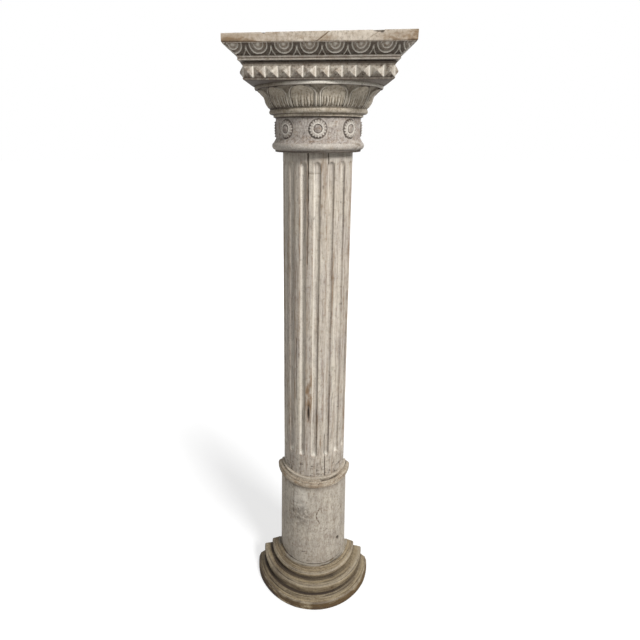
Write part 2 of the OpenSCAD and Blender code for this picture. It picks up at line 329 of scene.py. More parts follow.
def limedWood(name, **changes):
    look = {**limewash, **changes}
    material = bpy.data.materials.new(name)
    material.use_nodes = True
    tree = material.node_tree
    shader = tree.nodes["Principled BSDF"]
    kit = Kit(tree)

    def mask(key):
        return kit.node("ShaderNodeAttribute", {"attribute_name": key}, out="Fac")

    def noise(place, key, detail, roughness):
        return kit.noise(place, fineness[key], detail, roughness)

    point = kit.node("ShaderNodeTexCoord", out="Object")
    grain = kit.stretch(point, look["grain"])
    rings = 0.0
    if look["turned"]:  # grain and tool lines run round the piece
        slope, along = mask("slope"), mask("along")
        (grainAlong, grainUp), (ringAlong, ringUp) = look["turnedGrain"], look["ringGrain"]
        grain = kit.vector(along * grainAlong, slope * grainUp, 0.0)
        rings = kit.noise(kit.vector(along * ringAlong, slope * ringUp, 0.0), 1.0, 3, 0.8)
        rings = rings.ease(0.52, 0.60) * look["rings"]
    patches = noise(point, "patches", 3, 0.6)
    streaks = noise(grain, "streaks", 4, 0.65)
    fibres = noise(grain, "fibres", 3, 0.7)
    blots = noise(point, "blots", 4, 0.7)
    mottle = noise(point, "mottle", 4, 0.75)
    grit = noise(kit.stretch(point, look["gritGrain"]), "grit", 3, 0.8)
    specks = noise(point, "specks", 2, 0.6)
    # the masks carry painted highlight along with limewash, and painted shade along with dirt
    paint, bare, grime, carved = mask("paint"), mask("bare"), mask("grime"), mask("carved")
    colour = kit.blend(patches.ease(0.36, 0.64) * look["patch"], look["base"], look["cool"])
    colour = kit.blend(streaks.ease(0.45, 0.70) * look["streak"], colour, look["cream"])
    colour = kit.blend(mottle.ease(0.50, 0.72) * look["mottle"], colour, look["cream"])
    colour = kit.blend(mottle.ease(0.50, 0.30) * look["mottle"], colour, look["brown"])
    colour = kit.blend(grit.ease(0.50, 0.66) * look["grit"] * 0.8, colour, look["white"])
    colour = kit.blend(grit.ease(0.50, 0.32) * look["grit"], colour, look["dirtAndShade"])
    # bare wood, then thick limewash and painted highlight, then dirt and painted shade
    rubbed = (streaks.ease(0.50, 0.30) * fibres.ease(0.40, 0.62) * look["worn"]
              + bare * (0.55 + fibres * 0.8)).atMost(1.0)
    colour = kit.blend(rubbed, colour, look["brown"])
    limedAndLit = (paint * specks.ease(0.22, 0.5)).atMost(1.0)
    colour = kit.blend(limedAndLit, colour, look["white"])
    dots = specks.ease(0.60, 0.74) * blots.ease(0.42, 0.60) * look["soil"] * 1.6
    soiledAndShaded = (grime * (0.7 + specks * 0.6) + rings + dots
              + blots.ease(0.54, 0.72) * look["soil"] * 0.4).atMost(1.0)
    colour = kit.blend(soiledAndShaded, colour, look["dirtAndShade"])
    # the sawn back shows its grain and, across it, faint saw marks
    saw = (noise(kit.stretch(point, look["back"]), "sawn", 4, 0.65) * 0.75
           + noise(kit.stretch(point, (0.1, 1.0, 1.0)), "sawMarks", 2, 0.5) * 0.25)
    sawn = kit.blend(saw.ease(0.36, 0.64), look["sawnDark"], look["sawnPale"])
    colour = kit.blend(1 - carved, colour, sawn)
    tree.links.new(colour.socket, shader.inputs["Base Color"])
    rough = look["rough"] + (fibres - 0.5) * 0.25 + rubbed * 0.1 - limedAndLit * 0.1
    tree.links.new(rough.socket, shader.inputs["Roughness"])
    swell = fibres * 0.5 + streaks * 0.6 + specks * 0.3 + grit * 0.5 + (1 - carved) * saw
    bump = kit.node("ShaderNodeBump", {}, {"Height": swell, "Strength": look["relief"],
                                           "Distance": look["reliefDepth"]})
    tree.links.new(bump.socket, shader.inputs["Normal"])
    shader.inputs["Specular IOR Level"].default_value = look["shine"]
    return material


# grain that runs across a board, and the shorter grain of carved blocks
across = (0.07, 0.5, 1.0)
carvedWood = (0.35, 0.35, 0.6)
olive = {"base": tint(140, 124, 98), "cool": tint(118, 104, 81), "cream": tint(176, 160, 131),
         "brown": tint(80, 60, 36), "turned": True, "worn": 0.9, "mottle": 0.35, "soil": 0.4, "streak": 0.8,
         "grit": 0.2, "back": across}
dusky = {**olive, "base": tint(150, 134, 106), "cool": tint(128, 114, 90), "cream": tint(176, 160, 128)}
finishes = {
    "upper_step": limedWood("upperStepFinish", **olive),
    "middle_step": limedWood("middleStepFinish", **dusky),
    "lower_step": limedWood("lowerStepFinish", **{**dusky, "brown": tint(88, 68, 40), "soil": 0.6}),
    "drum": limedWood("drumFinish", base=tint(176, 166, 152), cool=tint(154, 145, 135), streak=0.6,
        worn=0.5, cream=tint(202, 193, 177), grain=(1.0, 1.0, 0.14), relief=0.35, grit=0.3, mottle=0.6,
        gritGrain=(1.0, 1.0, 0.25), brown=tint(124, 104, 82)),
    "collar": limedWood("collarFinish", base=tint(172, 158, 138), cool=tint(150, 137, 120), turned=True,
        cream=tint(200, 188, 168), worn=1.0, mottle=0.6, grit=0.35, rings=0.5, soil=0.5),
    "shaft": limedWood("shaftFinish", worn=0.75, streak=0.9, mottle=0.5, gritGrain=(1.0, 1.0, 0.1),
        grit=0.4, brown=tint(128, 103, 76)),
    "necking": limedWood("neckingFinish", base=tint(164, 154, 145), cool=tint(148, 140, 136), grain=across,
        cream=tint(188, 179, 167), worn=0.6, mottle=0.6, soil=0.45, grit=0.5),
    "bell": limedWood("bellFinish", base=tint(184, 172, 153), cool=tint(166, 155, 138), grain=carvedWood,
        cream=tint(208, 197, 177), brown=tint(122, 105, 82), worn=0.4, mottle=0.6, soil=0.4, grit=0.45),
    "ovolo": limedWood("ovoloFinish", back=across, base=tint(146, 135, 122), cool=tint(128, 119, 109),
        grain=carvedWood, cream=tint(166, 156, 142), worn=0.4, mottle=0.6, soil=0.7, grit=0.4),
    "nailheads": limedWood("nailheadFinish", back=across, base=tint(172, 162, 147),
        cool=tint(152, 143, 133), grain=carvedWood, worn=0.35, mottle=0.6, soil=0.4, grit=0.5),
    "eggs": limedWood("eggFinish", back=across, base=tint(176, 164, 150), cool=tint(158, 148, 137),
        grain=carvedWood, cream=tint(200, 190, 175), worn=0.35, mottle=0.6, soil=0.4, grit=0.45),
    "board": limedWood("boardFinish", back=across, base=tint(192, 180, 164), cool=tint(172, 159, 143),
        grain=across, cream=tint(214, 203, 187), brown=tint(136, 113, 86), worn=0.7, mottle=0.6, soil=0.4,
        grit=0.35),
}
print("finishes made:", len(finishes))


# wear that the pieces share, in millimetres
wear = {"waves": 12, "tool": 130, "toolGrain": (1.0, 1.0, 0.12), "pits": 90}


# waves, ripple and dents are the most that each moves the surface
def weather(kit, at, waves, ripple, dents):
    broad = (kit.noise(at["place"], wear["waves"], 1) - 0.5) * (2 * waves)
    tool = kit.grained(at, wear["toolGrain"], wear["tool"], 2)
    pits = kit.noise(at["place"], wear["pits"], 2, 0.6).ease(0.64, 0.78)
    return broad + (tool - 0.5) * (2 * ripple) - pits * dents, pits


# a crack or seam up the grain: 1 on the line, 0 beside it
def crack(kit, aside, up, low, high, width, wander=1.5):
    drift = kit.noise(kit.vector(up * 0.03, float(low), 0.0), 1.0, 3) - 0.5
    line = abs(aside + drift * (2 * wander)).ease(width, width * 0.3)
    return line * up.ease(low - 5, low + 5) * up.ease(high + 5, high - 5)


# 1 inside an oval of these half sizes, 0 outside
def spot(kit, aside, up, wide, high, soft=0.4):
    return kit.length(aside / wide, up / high).ease(1 + soft, 1 - soft)


# distance round a turned piece from the line at that turn
def aside(at, turn, radius):
    return (at["along"] - turn) * (math.radians(1) * radius)


# foot: three half-round steps. The last four values go from the lowest step up
steps = {"row": 1.8, "columns": 250, "nose": 8.0, "rim": 28.0, "lean": 7.0, "middleFall": 6.0,
         "upperFall": 10.0, "fillet": 11.0, "chips": 2.5,
         "stain": (1.0, 0.3, 0.15), "squeeze": (6.0, 1.0, 0.0), "contact": (0.75, 0.75, 0.1),
         "limed": (0.0, 0.0, 0.6)}


def stepEdge(node):
    r, h, nose = reach(node), tall(node), steps["nose"]
    if node == "lower_step":
        rim, inner = steps["rim"], reach("middle_step")
        return ([(r - 2.5, 0), (r - 0.5, 2), (r, 5)]
                + arc((r - steps["lean"] - 4, rim - 4), 4, 5, 72, 5)
                + [(inner + 2, h - 0.5), (inner - 6, h)])
    if node == "middle_step":
        return ([(r - 6, 0), (r - 5, 8)]
                + arc((r - nose, h - steps["middleFall"] - nose), nose, -45, 76, 10)
                + [(reach("upper_step") + 1, h - 0.5), (reach("upper_step") - 8, h)])
    ledge = reach("plain_drum") + steps["fillet"]
    return ([(r - 6, 0), (r - 5, 3)]
            + arc((r - nose, h - steps["upperFall"] - nose), nose, -45, 70, 10)
            + [(ledge + 0.5, h - 2.5), (ledge, h - 0.4), (ledge - 14, h)])


def stepPattern(kit, sizes, at):
    lift, pits = weather(kit, at, 0.7, 0.1, 0.8)
    up = at["up"]
    nose, tread, stain = sizes["noseUp"], sizes["tread"], sizes["stain"]
    edge = up.ease(0.0, 6.0) * up.ease(nose + 9, nose)
    chips = kit.noise(at["place"], 24, 3, 0.65).ease(0.60, 0.72) * edge
    low = up.ease(nose * 0.9, 0.0)
    blotch = kit.grained(at, (0.5, 0.5, 1.6), 26, 4, 0.65)
    left = at["X"].ease(60.0, -150.0)
    damp = low * (0.3 + left * 0.9) * stain * blotch.ease(0.4, 0.56)
    # dirt and painted shade on the inner tread, towards the riser above
    inner = up.ease(nose + 7, nose + 13)
    # where the next piece stands: a painted shadow, weaker on the lit right, and limewash that has run
    contact = up.ease(tread - 2.6, tread - 0.8) * (1 - at["X"].ease(40, 180) * 0.6) * sizes["contact"]
    limed = up.ease(tread - 3.0, tread - 0.8) * blotch.ease(0.36, 0.5) * sizes["limed"]
    ends = abs(at["along"]).ease(58, 92)
    return {"lift": lift - chips * sizes["chips"] - ends * sizes["squeeze"],
            "bare": (blotch.ease(0.40, 0.58) * edge + low * blotch.ease(0.36, 0.5)) * stain + chips * 0.5,
            "grime": damp + pits * 0.5 + inner * 0.25 * blotch.ease(0.15, 0.5) + contact
            + up.ease(6, 1) * 0.25 + left * blotch.ease(0.3, 0.6) * 0.3,
            "paint": up.ease(nose - 3, nose) * up.ease(nose + 5, nose + 2) * 0.15 + limed}


for place, name in enumerate(("lowerStep", "middleStep", "upperStep")):
    node = name.replace("Step", "_step")
    high = tall(node)
    noseUp = (steps["rim"] - 3, high - steps["middleFall"] - 2, high - steps["upperFall"] - 3)[place]
    own = {**steps, "noseUp": noseUp, "tread": high}
    own.update({key: steps[key][place] for key in ("stain", "squeeze", "contact", "limed")})
    make(name, node, "step_wood", stepEdge(node), own,
         ("noseUp", "tread", "chips", "stain", "squeeze", "contact", "limed"), stepPattern, node)


# plain drum. Pale and dull patches: turn, height, half width, half height
drum = {"row": 2.4, "columns": 230, "batter": 7.5, "seamTurn": -35.4, "seamLow": 345, "seamWidth": 1.5,
        "nailTurn": 49.5, "nailUp": 206, "nailHalf": (6, 10), "scratchTurn": 8.0, "scratchUp": 350,
        "gougeTurn": -16.0, "gougeUp": 172, "gougeHalf": (8, 2), "staves": 14,
        "pale": (-22.0, 415, 30, 52), "dull": (-24.0, 350, 40, 52)}


def drumPattern(kit, sizes, at):
    r = reach("plain_drum") - drum["batter"] / 2
    lift, pits = weather(kit, at, 0.5, 0.15, 0.5)
    up, base = at["Z"], foot("plain_drum")
    top = base + tall("plain_drum")

    def patch(key, soft, blotch):
        turn, height, wide, high = drum[key]
        return spot(kit, aside(at, turn, r), up - height, wide, high, soft) * blotch

    seam = crack(kit, aside(at, sizes["seamTurn"], r), up, drum["seamLow"], top, drum["seamWidth"])
    nailRise = up - sizes["nailUp"]
    nail = spot(kit, aside(at, sizes["nailTurn"], r) + nailRise * 0.4, nailRise, *drum["nailHalf"])
    # a long curl scratched in, and a short stroke beside it
    lean = aside(at, sizes["scratchTurn"], r)
    rise = up - drum["scratchUp"]
    curl = abs(lean - 1 + (rise * 0.075).wave() * 6).ease(3.0, 1.2) * abs(rise + 4).ease(42, 32)
    stroke = abs(lean - 16 - (rise * 0.1).wave() * 4).ease(2.2, 0.8) * abs(rise - 26).ease(14, 8)
    scratch = curl * kit.noise(at["place"], 160, 2).ease(0.38, 0.5) + stroke * 0.5
    gougeAside = aside(at, drum["gougeTurn"], r)
    gouge = spot(kit, gougeAside, up - drum["gougeUp"] - gougeAside * 0.35, *drum["gougeHalf"])
    pale = patch("pale", 0.4, kit.noise(at["place"], 40, 4, 0.7).ease(0.36, 0.5))
    dull = patch("dull", 0.5, kit.noise(at["place"], 70, 4, 0.7).ease(0.38, 0.56))
    smear = kit.grained(at, (1, 1, 0.45), 24, 4, 0.75).ease(0.55, 0.68)
    sway = kit.grained(at, (1, 1, 0.05), 20, 1)
    staves = ((at["along"] / drum["staves"] + sway) * math.tau).wave()
    worn = kit.grained(at, (1, 1, 0.3), 45, 4, 0.7).ease(0.56, 0.70)
    low = up.ease(base + 60, base)
    shade = up.ease(top - 26, top)
    return {"lift": lift + staves * 0.25 - seam * 1.2 - nail * 6 - scratch * 1.2 - gouge * 2 - worn * 0.2,
            "bare": worn * (0.25 + low * 0.35) + smear * 0.3 + scratch * 0.8 + seam * 0.6 + shade * 0.2,
            "grime": seam * 0.6 + nail + gouge * 0.9 + scratch * 0.6 + pits * 0.6 + dull * 0.5
            + low * worn * 0.6 + shade * 0.35 + low * 0.15 + at["X"].ease(30, 110) * (0.06 + worn * 0.15),
            "paint": pale * 0.45 + up.ease(base + 5, base + 2) * 0.5}


drumR, drumH = reach("plain_drum"), tall("plain_drum")
drumEdge = [(drumR - 1, 0), (drumR, 2), (drumR - drum["batter"], drumH)]
make("plainDrum", "plain_drum", "drum_wood", drumEdge, drum,
     ("seamTurn", "nailTurn", "nailUp", "scratchTurn"), drumPattern, "drum")


# collar
collar = {"row": 1.4, "columns": 270, "roll": 16.5, "bead": 4.0, "dents": 2.2}


def collarPattern(kit, sizes, at):
    lift, pits = weather(kit, at, 0.8, 0.1, 0.5)
    knock = kit.noise(at["place"], 34, 3, 0.65).ease(0.60, 0.74)
    up = at["up"]
    crown = up.ease(0, 8) * up.ease(32, 20)
    rub = kit.grained(at, (0.6, 0.6, 1.5), 40, 4, 0.7).ease(0.46, 0.64)
    groove = abs(up - (sizes["roll"] * 2 + 0.5)).ease(3, 1)
    rough = (kit.noise(at["place"], 120, 3, 0.7) - 0.5) * 1.6
    return {"lift": lift - knock * sizes["dents"] + rough, "bare": rub * crown * 0.6 + knock * 0.4,
            "grime": pits * 0.8 + groove * (0.15 + rub * 0.45) + knock * 0.5 + up.ease(5, 0) * 0.4,
            "paint": up.ease(34, 38) * 0.25}


shaftR = reach("fluted_shaft")
roll, bead = collar["roll"], collar["bead"]
collarR = reach("collar")
collarEdge = ([(collarR - roll - 4, 0), (collarR - roll, 0.1)]
              + arc((collarR - roll, roll), roll, -88, 78, 20)
              + arc((shaftR + 4, tall("collar") - bead), bead, -30, 84, 8)
              + [(shaftR - 4, tall("collar"))])
make("collarRing", "collar", "collar_wood", collarEdge, collar, ("roll", "dents"), collarPattern, "collar")


# fluted shaft. Cracks: turn, low end, high end
shaft = {"row": 2.0, "longRow": 4.6, "columns": 262, "straightUp": 112, "straightDown": 80,
         "headNarrowing": 11.0, "fluteStep": 22.5, "fluteWidth": 20.0, "fluteDepth": 8.0, "lowEnd": 83.0,
         "highEnd": 23.0, "bareTurn": -9.9, "bareUp": 322, "repairUp": 1010, "repairFrom": -15.0,
         "repairTo": 5.5, "stainTurn": -14.5,
         "cracks": ((-14.2, 760, 1063), (-14.8, 930, 1063), (17.3, 1015, 1063), (20.4, 0, 170),
                    (-35, 300, 520))}


def shaftPattern(kit, sizes, at):
    up, h = at["up"], tall("fluted_shaft")
    r = reach("fluted_shaft") - up * (shaft["headNarrowing"] / h)
    lift, pits = weather(kit, at, 0.5, 0.25, 0.4)
    long = kit.stretch(at["place"], (1.0, 1.0, 0.05))
    turns = at["along"] / sizes["fluteStep"] + 0.5
    off = (turns % 1.0 - 0.5) * sizes["fluteStep"] * (math.radians(1) * r)
    half = sizes["fluteWidth"] / 2
    deep, lowEnd = sizes["fluteDepth"], sizes["lowEnd"]
    beyond = (lowEnd + half - up).atLeast(up - (h - sizes["highEnd"] - half)).atLeast(0.0)
    q = kit.length(off, beyond)
    cutR = (half * half + deep * deep) / (2 * deep)
    inside = abs(at["along"]).ease(sizes["fluteStep"] * 3.6, sizes["fluteStep"] * 3.4)
    wobble = (kit.grained(at, (1, 1, 0.3), 60, 2) - 0.5) * 1.2
    flute = ((cutR * cutR - (q + wobble) ** 2.0).root() - cutR + deep).atLeast(0.0) * inside
    arris = q.ease(half + 4, half + 0.5) * q.ease(half - 2.5, half)
    # a piece let in across the middle flute, above the step in the front face
    rise = up - sizes["repairUp"]
    start, end = shaft["repairFrom"], shaft["repairTo"]
    within = at["along"].ease(start - 0.5, start + 0.5) * at["along"].ease(end + 0.5, end - 0.5)
    mended = within * rise.ease(-1.0, 1.0)
    joint = within * abs(rise + wobble * 3).ease(3.0, 1.0)
    stained = abs(at["along"] - shaft["stainTurn"]).ease(2.6, 0.6) * up.ease(700, 900)
    splits = sum(crack(kit, aside(at, turn, r), up, low, high, 1.7, 2.0)
                 for turn, low, high in shaft["cracks"])
    # bare wood round a knot hole, and a drip of limewash
    bareAside, bareRise = aside(at, sizes["bareTurn"], r), up - sizes["bareUp"]
    ragged = kit.grained(at, (1, 1, 0.25), 90, 3, 0.7)
    bare = spot(kit, bareAside, bareRise, 14, 90, 0.5) * ragged.ease(0.34, 0.56) * 0.95
    hole = spot(kit, bareAside + 2, bareRise + 62, 3.8, 26, 0.6)
    drip = spot(kit, bareAside + 1, bareRise + 46, 4, 7)
    rub = kit.noise(long, 85, 4, 0.7).ease(0.54, 0.70)
    blots = kit.noise(at["place"], 70, 4, 0.7).ease(0.52, 0.66) * up.ease(120, 20)
    # a painted highlight on the lit wall of each flute, and painted shade on the other
    wall = up.ease(lowEnd, lowEnd + 20) * up.ease(h - 24, h - 40) * inside
    uneven = kit.noise(long, 50, 2).ease(0.3, 0.6)
    litWallHighlight = abs(off + half * 0.72).ease(2.6, 0.6) * wall * uneven
    shadedWallShade = abs(off - half * 0.88).ease(2.4, 0.6) * wall * (1.2 - uneven)
    hollow = flute / deep
    # painted shade at the top, under the capital
    top = up.ease(h - 40, h)
    return {"lift": lift - flute + mended * 0.5 - joint * 0.6 - splits * 1.8 - bare * 1.2 - hole * 5
            - arris * 0.4,
            "bare": rub * (0.45 + arris * 0.5) + bare + splits * 0.5 + joint * 0.3 + arris * 0.15
            + stained * ragged * 0.7,
            "grime": shadedWallShade * 0.6 + splits * 0.8 + up.ease(78, 40) * (0.12 + blots * 0.3) + hole
            + joint * 0.12 + pits * 0.5 + blots * 0.45 + top * 0.25
            + hollow * kit.noise(long, 140, 3).ease(0.55, 0.70) * 0.35,
            "paint": litWallHighlight * 0.7 + hollow * 0.2 + hollow * up.ease(lowEnd + 26, lowEnd + 6)
            + up.ease(h - 26, h - 16) * 0.1 + drip * 0.5}


shaftH = tall("fluted_shaft")
straightLow, straightHigh = shaft["straightUp"], shaftH - shaft["straightDown"]
shaftEdge = [(shaftR - shaft["headNarrowing"] * z / shaftH, z)
             for z in (0, 66, straightLow, straightHigh, shaftH - 22, shaftH)]


# rows lie closer together where the flutes end
def shaftStep(z):
    return shaft["longRow"] if straightLow < z < straightHigh else shaft["row"]


make("flutedShaft", "fluted_shaft", "shaft_wood", shaftEdge, {**shaft, "row": shaftStep},
     ("fluteStep", "fluteWidth", "fluteDepth", "lowEnd", "highEnd", "repairUp", "bareTurn", "bareUp"),
     shaftPattern, "shaft")


# necking: torus, frieze and a ring of rosettes
necking = {"row": 1.15, "columns": 330, "fillet": 5.0, "torus": 10.5, "torusOut": 11.5, "torusTop": 25,
           "coveUp": 33, "rosette": 22.0, "rosetteStep": 45.0, "rosetteUp": 57.5, "petals": 17,
           "petalDepth": 1.2, "proud": 5.0}


def neckingPattern(kit, sizes, at):
    lift, pits = weather(kit, at, 0.5, 0.1, 0.7)
    r = reach("necking") - sizes["torusOut"]
    up = at["up"]
    step = sizes["rosetteStep"]
    side = ((at["along"] / step + 0.5) % 1.0 - 0.5) * step * (math.radians(1) * r)
    rise = up - sizes["rosetteUp"]
    q = kit.length(side, rise) + (kit.noise(at["place"], 60, 1) - 0.5) * 1.5
    petal = (kit.sum("ARCTAN2", rise, side) * sizes["petals"]).wave() * 0.5 + 0.5
    size = sizes["rosette"]
    rim = size - (1 - petal) * 2.4
    disc = q.ease(rim + 1.0, rim - 1.2)
    hollow = q.ease(size * 0.55, size * 0.47) * q.ease(size * 0.38, size * 0.44)
    boss = q.ease(size * 0.40, size * 0.12)
    ring = abs(q - size * 0.57).ease(size * 0.10, size * 0.03)
    between = (1 - petal) ** 3.0 * q.ease(size * 0.62, size * 0.92) * disc
    rosette = (disc * (sizes["proud"] * 0.75) - between * sizes["petalDepth"] - hollow * 2.0
               + boss * 1.6 + ring * 0.8)
    shadow = q.ease(size + 4.5, size + 0.5) * (1 - disc)
    rimLine = abs(q - size - 4).ease(1.6, 0.4)
    h, coveUp, torusTop = tall("necking"), necking["coveUp"], necking["torusTop"]
    cove = up.ease(coveUp - 5, coveUp) * up.ease(coveUp + 7, coveUp)
    top = up.ease(h - 8, h)
    rub = kit.grained(at, (0.5, 0.5, 1.4), 42, 4, 0.7).ease(0.50, 0.66)
    torus = up.ease(torusTop, torusTop - 5)
    # painted shade under the torus
    shadedUnderside = torus * (up.ease(6.5, 2.0) * 0.6 + up.ease(12, 6) * 0.3)
    right = at["X"].ease(60, 125)
    speckle = kit.noise(at["place"], 110, 3, 0.7).ease(0.56, 0.70)
    # the outermost rosettes show as teeth beside the back, darkened with painted shade
    teeth = ((rise * 0.9).wave() * 0.5 + 0.5) ** 2.0 * abs(at["along"]).ease(78, 84) * disc
    return {"lift": lift + rosette - teeth * 2.2,
            "bare": rub * torus * (0.55 + right * 0.4) + between * 0.25 + speckle * 0.25 * (1 - disc),
            "grime": pits * 0.5 + shadow * 0.7 + between * 0.55 + hollow * 0.5 + boss * 0.25 + teeth * 0.8
            + cove * 0.15 + top * 0.35 + shadedUnderside + abs(at["along"]).ease(35, 80) * 0.12
            + torus * right * (0.15 + rub * 0.4),
            "paint": disc * q.ease(size * 0.5, size * 0.62) * 0.3 + ring * 0.6 + rimLine * 0.3
            + torus * 0.3}


friezeR = reach("necking") - necking["torusOut"]
ring, fillet, neckH = necking["torus"], necking["fillet"], tall("necking")
coveLow = fillet + 2 * ring
neckingEdge = ([(friezeR, 0), (friezeR + 3, 0.8), (friezeR + 3, fillet)]
               + arc((friezeR + necking["torusOut"] - ring, fillet + ring), ring, -82, 62, 16)
               + [(friezeR + 4.5, coveLow + 2), (friezeR + 2, coveLow + 6), (friezeR, coveLow + 10),
                  (friezeR, neckH - 2), (friezeR - 1, neckH)])
make("rosetteNecking", "necking", "capital_wood", neckingEdge, necking,
     ("torusOut", "rosette", "rosetteStep", "rosetteUp", "petals", "petalDepth", "proud"), neckingPattern,
     "necking")


# leaf bell, with the square ovolo above it. The curve gives steps out from the bead's foot, with
# their heights
bell = {"row": 1.15, "columns": 390, "bead": 6.5, "beadOut": 17.5, "beadUp": 8.5, "lip": 6.0, "lipOut": 55,
        "height": 78.5, "leaves": 6, "leafRadius": 146, "stalk": 4.0, "veins": 3.8, "leafDepth": 4.0,
        "veinDepth": 2.0,
        "curve": ((3.5, 26), (8, 32), (11, 38), (13, 44), (15.3, 50), (19, 56), (23.5, 61)),
        "ovolo": {"row": 1.4, "columns": (90, 190), "high": 5.5, "soffit": 56}}


def bellPattern(kit, sizes, at):
    lift, pits = weather(kit, at, 0.6, 0.1, 0.6)
    up = at["up"]
    low, top = sizes["bead"] * 2 + bell["beadUp"], sizes["height"] - sizes["lip"] * 2
    rise = ((up - low) / (top - low)).atLeast(0.0).atMost(1.0)
    step = 180.0 / sizes["leaves"]
    off = (at["along"] / step + (kit.noise(at["place"], 9, 1) - 0.5) * 0.1) % 1.0 - 0.5
    breadth = step * (math.radians(1) * bell["leafRadius"])
    side = off * breadth
    # the leaf narrows at its foot and closes in a round top
    cap = (rise - 0.52).atLeast(0.0) / 0.48
    halfWide = (breadth / 2 - sizes["stalk"] * 0.4 - (1 - rise) * 1.5) * (1 - cap ** 2.6 * 0.97).root()
    inset = halfWide - abs(side)
    onBell = up.ease(low - 0.5, low + 1.5) * up.ease(top + 1.0, top - 1.0)
    leaf = inset.ease(-0.8, 1.2) * onBell
    outline = abs(inset - 2.4).ease(2.4, 0.8) * onBell
    inner = inset.ease(2.5, 7.0) * onBell
    # veins fan up from the foot and fade out two thirds of the way up
    fan = side / halfWide.atLeast(4.0) * (1 + rise * 0.15)
    sway = (kit.noise(at["place"], 26, 2) - 0.5) * 1.8
    vein = ((fan * sizes["veins"] + off * 1.5 + sway) * math.pi).wave() * 0.5 + 0.5
    reachUp = (rise + sway * 0.35).ease(0.70, 0.35) * rise.ease(0.0, 0.06)
    blade = vein ** 5.0 * reachUp * inner
    hollow = abs(vein - 0.42).ease(0.30, 0.08) * reachUp * inner
    stalk = abs(abs(side) - breadth / 2).ease(2.4, 0.8) * rise.ease(0.72, 0.5) * onBell
    ground = (1 - leaf) * onBell
    lifts = ((leaf - 1) * onBell * sizes["leafDepth"] - inner * 1.4 - hollow * sizes["veinDepth"]
             + outline * 0.5 + stalk * 2.4 + blade)
    bead = up.ease(6, 9) * up.ease(low + 1, low - 3)
    rub = kit.grained(at, (0.6, 0.6, 1.2), 46, 4, 0.7).ease(0.50, 0.66)
    lip = up.ease(top, top + 4)
    # dark lines inside each leaf's edge and at the bead, and a painted shadow under the lip
    inside = abs(inset - 5.5).ease(1.8, 0.5) * onBell
    darkLines = (abs(up - top - 0.5).ease(2.4, 0.8) * 0.8 + bead * 0.15
             + abs(up - low - 3).ease(4, 1) * (1 - blade) * 0.3 + abs(up - low).ease(2.5, 0.8) * 0.4
             + abs(up - 8.3).ease(1.6, 0.5) * 0.6)
    # painted shade down the left flank, more on the lip, and a little at the far right
    shadedSides = at["X"].ease(-40, -130) * (0.35 + lip * 0.25) + at["X"].ease(110, 150) * 0.15
    # limewash on the lip, with a painted highlight that fades out towards the shaded left
    return {"lift": lift + lifts,
            "bare": rub * 0.15 + bead * 0.25 * rub,
            "grime": ground * 0.45 * (1 - stalk) + hollow * 0.45 + pits * 0.5 + up.ease(2.8, 0.8)
            + inside * 0.8 + darkLines + shadedSides,
            "paint": outline * 0.5 + blade * 0.4 * (1 - rub) + stalk * 0.4
            + lip * at["X"].ease(-120, -50) * 0.85}


def ovoloPattern(kit, sizes, at):
    lift, pits = weather(kit, at, 0.6, 0.1, 0.6)
    # painted shade along the top under the nailheads; the whole ovolo is darkened, the soffit most on the
    # left
    up = at["up"]
    return {"lift": lift, "bare": pits * 0.3,
            "grime": pits * 0.5 + 0.38 + up.ease(3.6, 5.5) * 0.4
            + up.ease(1.6, 0.9) * (0.3 + at["X"].ease(20, -60) * 0.5)}


beadR, lipR, bellH = bell["bead"], bell["lip"], bell["height"]
beadUp, bellFoot, lipOut = bell["beadUp"], friezeR + bell["beadOut"], friezeR + bell["lipOut"]
bellEdge = ([(friezeR + 2, 0), (friezeR + 2, 1.3), (friezeR + 6, 1.8), (friezeR + 6, 7)]
            + arc((bellFoot - beadR, beadUp + beadR), beadR, -75, 62, 14)
            + [(bellFoot - 1, beadUp + 2 * beadR)]
            + [(bellFoot + wide, up) for wide, up in bell["curve"]]
            + [(lipOut - lipR + 0.5, bellH - 2 * lipR)]
            + arc((lipOut - lipR, bellH - lipR), lipR, -70, 86, 14)
            + [(lipOut - 16, bellH + 0.2)])
leafBell = shape("leafBell", bellEdge, foot("leaf_bell"), bell,
                 ("bead", "leaves", "stalk", "veins", "leafDepth", "veinDepth", "lip", "height"),
                 bellPattern, "bell")
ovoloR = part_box("leaf_bell")[1].x / mm
ovolo = bell["ovolo"]
ovoloEdge = [(ovoloR - ovolo["soffit"], 0), (ovoloR - 9, 0), (ovoloR - 4.5, 0.5), (ovoloR - 1.4, 2.2),
             (ovoloR, ovolo["high"])]
squareOvolo = shape("squareOvolo", ovoloEdge, foot("leaf_bell") + tall("leaf_bell") - ovolo["high"], ovolo,
                    ("high",), ovoloPattern, "ovolo", squareRows)
with bpy.context.temp_override(active_object=leafBell, selected_editable_objects=[leafBell, squareOvolo]):
    bpy.ops.object.join()
fit(leafBell, "leaf_bell")


# nailheads, with the plain band and recess above them. The skin starts from the faces between the
# nailheads, cadProud behind their tips in the CAD
nailheads = {"row": 1.15, "columns": (150, 310), "headHigh": 25.0, "proud": 11.0, "cadProud": 8.8,
             "pitch": 30.0, "skew": 0.0069, "shift": -5.8, "blunt": 0.90, "band": 7.0, "bandOut": 2.0,
             "recess": 8.0, "sharp": 28}


